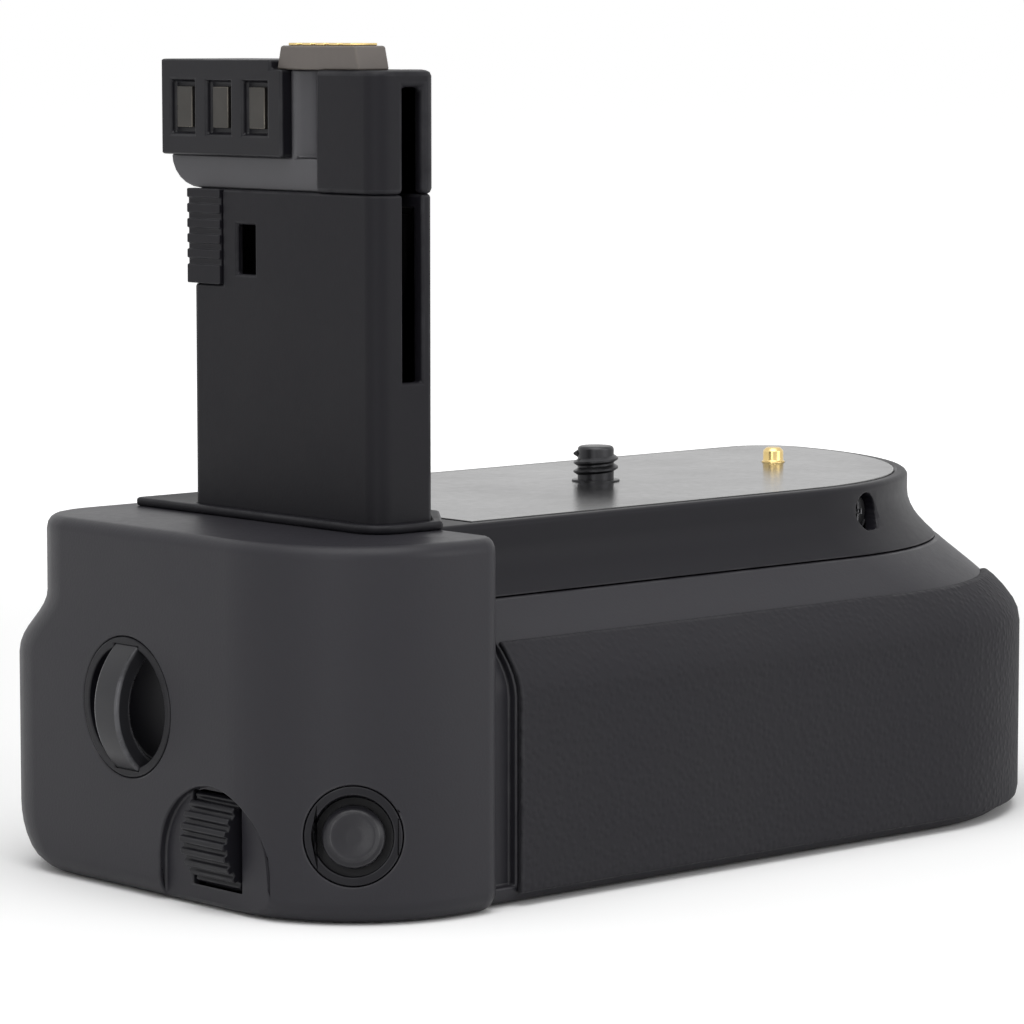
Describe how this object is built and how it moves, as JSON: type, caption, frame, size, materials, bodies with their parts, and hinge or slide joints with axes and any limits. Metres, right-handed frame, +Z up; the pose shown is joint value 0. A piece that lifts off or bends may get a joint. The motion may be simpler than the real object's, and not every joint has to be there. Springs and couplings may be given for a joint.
{
  "type": "camera battery grip",
  "caption": "Battery grip that screws under a camera, with a contact stem, geared mounting screw, sliding battery tray, and shutter and dial controls.",
  "frame": {"origin": "mouth of the tripod socket on the bottom, on the axis of the mounting screw", "axes": "+X along the body to the tray end, -Y out of the front, +Z up towards the camera"},
  "size_m": [0.1537, 0.074, 0.1102],
  "materials": {
    "shell_plastic": "fine moulded texture, satin",
    "cover_plastic": "smooth, satin",
    "platform_gloss": "smooth, glossy",
    "stem_plastic": "fine spark texture",
    "carrier_plastic": "smooth mid grey",
    "block_plastic": "smooth",
    "contact_insulator": "smooth brown grey",
    "rubber": "leather-grain moulded rubber",
    "control_plastic": "smooth satin",
    "steel": "turned",
    "dark_screw": "black oxide",
    "lug_metal": "satin dark enamel with worn edges",
    "gold": "gold plated",
    "contact_dark": "dark plated",
    "circuit_board": "solder mask",
    "ribbon": "polyimide film",
    "battery": "satin"
  },
  "bodies": {
    "grip": {"main_housing": "shell_plastic", "top_cover": "cover_plastic", "platform_plate": "platform_gloss", "grip_end_cover": "shell_plastic", "bulkhead": "shell_plastic", "front_grip_pad": "rubber", "rear_thumb_pad": "rubber", "tripod_plate": "steel", "tripod_bush": "steel", "chassis_plate": "steel", "tray_rails": "stem_plastic", "stem_column": "stem_plastic", "stem_head": "stem_plastic", "stem_side_cover": "stem_plastic", "stem_collar": "stem_plastic", "terminal_carrier": "carrier_plastic", "terminal_block": "block_plastic", "terminal_contacts": "contact_dark", "contact_block": "contact_insulator", "contact_pins": "gold", "stem_catch": "stem_plastic", "stem_ribbon": "ribbon", "main_board": "circuit_board", "screw_bearing": "steel", "wheel_axle": "steel", "locating_pin": "gold", "skirt_screws": "dark_screw", "shutter_cup": "block_plastic", "shutter_switch": "steel", "dial_bracket": "steel", "dial_axle": "steel", "strap_cup": "block_plastic", "strap_bar": "lug_metal", "rear_board": "circuit_board", "body_contacts": "gold", "chassis_screws": "dark_screw", "case_screws": "dark_screw"},
    "screw": {"mounting_screw": "dark_screw", "screw_gear": "steel"},
    "wheel": {"thumbwheel": "control_plastic", "wheel_gear": "steel"},
    "shutter": {"shutter_button": "control_plastic"},
    "dial": {"command_dial": "block_plastic"},
    "exposure_lock": {"exposure_lock_button": "control_plastic"},
    "focus_point": {"focus_point_button": "control_plastic"},
    "power": {"power_lever": "control_plastic"},
    "tray": {"battery_tray": "stem_plastic", "battery_inner": "battery", "battery_outer": "battery", "tray_contacts": "gold", "tray_end_cap": "shell_plastic"},
    "tray_lock": {"tray_lock_knob": "control_plastic", "tray_lock_tongue": "steel"}
  },
  "joints": [
    {"name": "screw_spin", "type": "hinge", "parent": "grip", "child": "screw", "pos_m": [0, 0, 0.04], "axis": [0, 0, 1], "continuous": true},
    {"name": "wheel_spin", "type": "hinge", "parent": "grip", "child": "wheel", "pos_m": [0, 0.0172, 0.04], "axis": [0, 0, 1], "continuous": true},
    {"name": "shutter_press", "type": "slide", "parent": "grip", "child": "shutter", "axis": [0.6545, 0.7269, -0.2079], "range_m": [0, 0.0008], "stiffness_N_per_m": 400},
    {"name": "dial_spin", "type": "hinge", "parent": "grip", "child": "dial", "pos_m": [-0.0794, -0.019, 0.009], "axis": [0, 1, 0], "continuous": true},
    {"name": "exposure_lock_press", "type": "slide", "parent": "grip", "child": "exposure_lock", "axis": [0, -1, 0], "range_m": [0, 0.0008], "stiffness_N_per_m": 400},
    {"name": "focus_point_press", "type": "slide", "parent": "grip", "child": "focus_point", "axis": [0, -1, 0], "range_m": [0, 0.0008], "stiffness_N_per_m": 400},
    {"name": "power_turn", "type": "hinge", "parent": "grip", "child": "power", "pos_m": [-0.038, 0.027, 0.016], "axis": [0, 1, 0], "range_deg": [0, 45]},
    {"name": "tray_slide", "type": "slide", "parent": "grip", "child": "tray", "axis": [1, 0, 0], "range_m": [0, 0.116]},
    {"name": "tray_lock_turn", "type": "hinge", "parent": "tray", "child": "tray_lock", "pos_m": [0.063, -0.0035, 0.018], "axis": [1, 0, 0], "range_deg": [0, 90]}
  ],
  "couplings": [
    {"joint": "wheel_spin", "follows": "screw_spin", "ratio": -2.0714}
  ]
}
